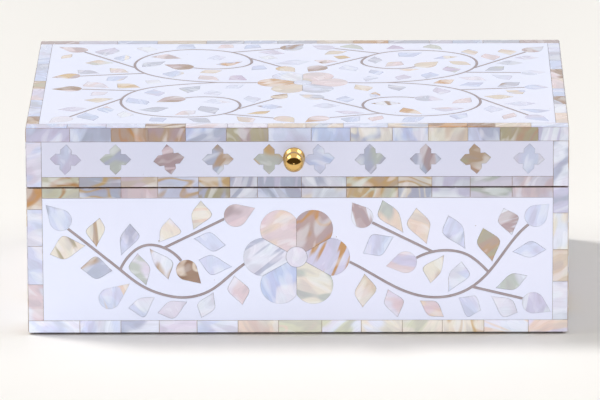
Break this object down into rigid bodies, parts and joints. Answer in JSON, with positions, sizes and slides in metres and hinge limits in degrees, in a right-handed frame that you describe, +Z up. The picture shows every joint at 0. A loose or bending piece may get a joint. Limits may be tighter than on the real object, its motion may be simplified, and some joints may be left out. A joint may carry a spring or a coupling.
{
  "type": "keepsake box",
  "caption": "Keepsake box with a hinged lid: wooden boards under white resin inlaid with shell leaves, flowers and edge tiles, a round brass knob, stop hinges and a soft lining.",
  "frame": {"origin": "centre of the flat underside, on the felt's lower face", "axes": "+Z up, -Y out of the front with the knob, +X to the right as seen from the front"},
  "size_m": [0.305, 0.2232, 0.121],
  "materials": {
    "white_resin": "polished cream-white resin",
    "shell": "polished mother-of-pearl",
    "vine_resin": "polished taupe resin",
    "carcass_wood": "plain planed hardwood",
    "lining_velvet": "short velvet",
    "base_felt": "pressed felt",
    "brass": "polished",
    "steel": "zinc plated"
  },
  "bodies": {
    "base": {"base_back_board": "carcass_wood", "base_back_flower": "shell", "base_back_leaves": "shell", "base_back_resin": "white_resin", "base_back_tiles": "shell", "base_back_vines": "vine_resin", "base_felt": "base_felt", "base_floor_board": "carcass_wood", "base_floor_lining": "lining_velvet", "base_front_board": "carcass_wood", "base_front_flower": "shell", "base_front_leaves": "shell", "base_front_resin": "white_resin", "base_front_tiles": "shell", "base_front_vines": "vine_resin", "base_left_board": "carcass_wood", "base_left_flower": "shell", "base_left_leaves": "shell", "base_left_resin": "white_resin", "base_left_tiles": "shell", "base_left_vines": "vine_resin", "base_right_board": "carcass_wood", "base_right_flower": "shell", "base_right_leaves": "shell", "base_right_resin": "white_resin", "base_right_tiles": "shell", "base_right_vines": "vine_resin", "base_wall_lining": "lining_velvet", "hinge_base_screws": "brass", "hinge_left_base_leaf": "brass", "hinge_pins": "brass", "hinge_right_base_leaf": "brass"},
    "lid": {"hinge_left_lid_leaf": "brass", "hinge_lid_screws": "brass", "hinge_right_lid_leaf": "brass", "knob": "brass", "knob_screw": "steel", "lid_back_board": "carcass_wood", "lid_back_quatrefoils": "shell", "lid_back_resin": "white_resin", "lid_back_tiles": "shell", "lid_front_board": "carcass_wood", "lid_front_quatrefoils": "shell", "lid_front_resin": "white_resin", "lid_front_tiles": "shell", "lid_left_board": "carcass_wood", "lid_left_quatrefoils": "shell", "lid_left_resin": "white_resin", "lid_left_tiles": "shell", "lid_lining": "lining_velvet", "lid_right_board": "carcass_wood", "lid_right_quatrefoils": "shell", "lid_right_resin": "white_resin", "lid_right_tiles": "shell", "lid_top_board": "carcass_wood", "lid_top_flower": "shell", "lid_top_leaves": "shell", "lid_top_resin": "white_resin", "lid_top_tiles": "shell", "lid_top_vines": "vine_resin"}
  },
  "joints": [
    {"name": "lid_hinge", "type": "hinge", "parent": "base", "child": "lid", "pos_m": [0, 0.1043, 0.0861], "axis": [-1, 0, 0], "range_deg": [0, 100]}
  ]
}
